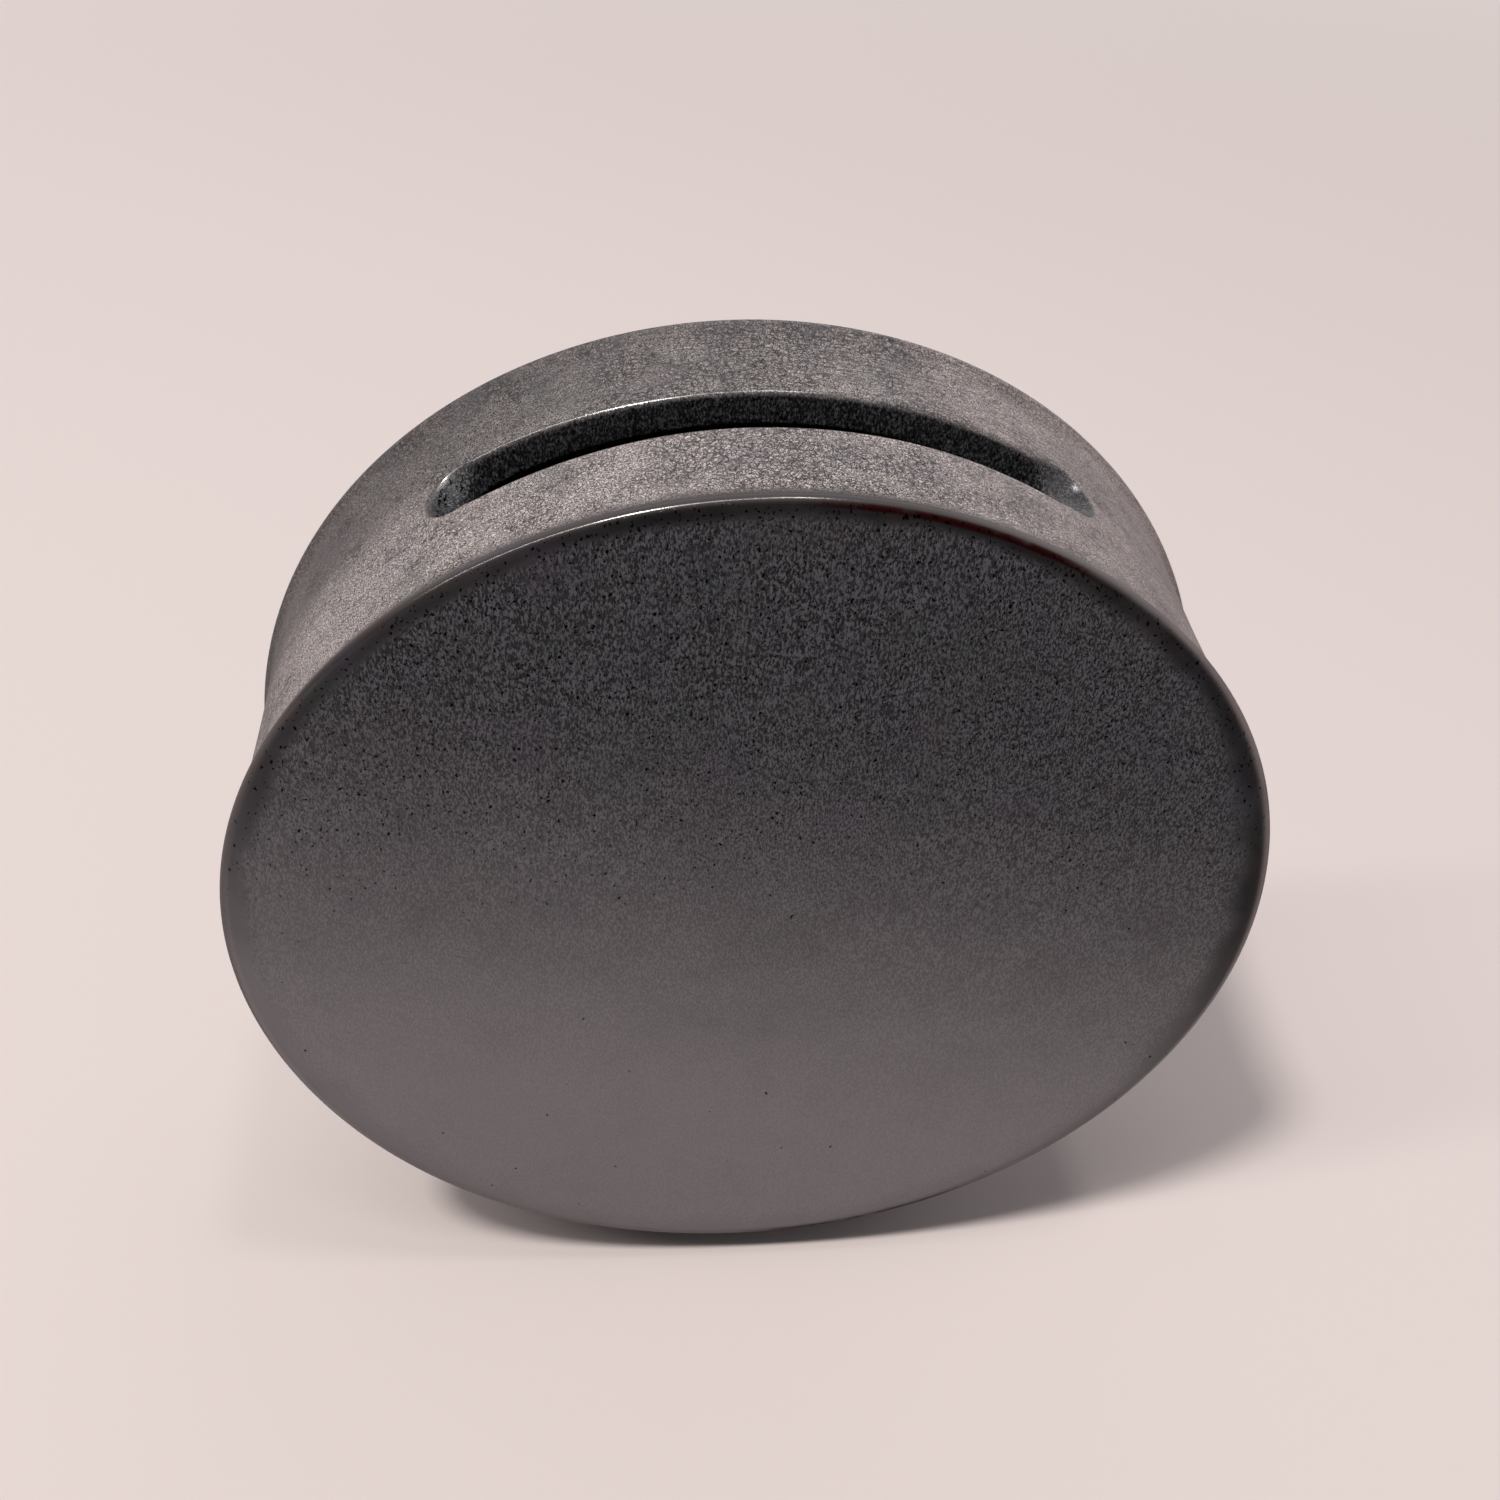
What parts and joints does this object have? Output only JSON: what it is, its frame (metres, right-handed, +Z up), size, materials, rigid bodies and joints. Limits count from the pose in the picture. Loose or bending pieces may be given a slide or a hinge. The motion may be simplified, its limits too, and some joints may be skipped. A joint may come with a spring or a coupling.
{
  "type": "disc vase",
  "caption": "Flat round ceramic vase that stands on edge on a low oval foot ring, with a long slot mouth along the top of its side band.",
  "frame": {"origin": "middle of the surface that the vase stands on, under the centre of the disc", "axes": "+Z up, +Y from the front face to the back face, +X to the right when the front face is looked at"},
  "size_m": [0.2099, 0.065, 0.218],
  "materials": {
    "satin_glaze": "satin black glaze, finely speckled, with pinholes and a reddish-brown break at the edges",
    "inner_clay": "dark poured glaze inside, thin and pitted",
    "foot_clay": "satin black glaze with a bare clay standing edge"
  },
  "bodies": {
    "root": {"front_slab": "satin_glaze", "back_slab": "satin_glaze", "mouth_band": "satin_glaze", "base_band": "satin_glaze", "front_corner_coil": "inner_clay", "back_corner_coil": "inner_clay", "foot_ring": "foot_clay"}
  },
  "joints": []
}
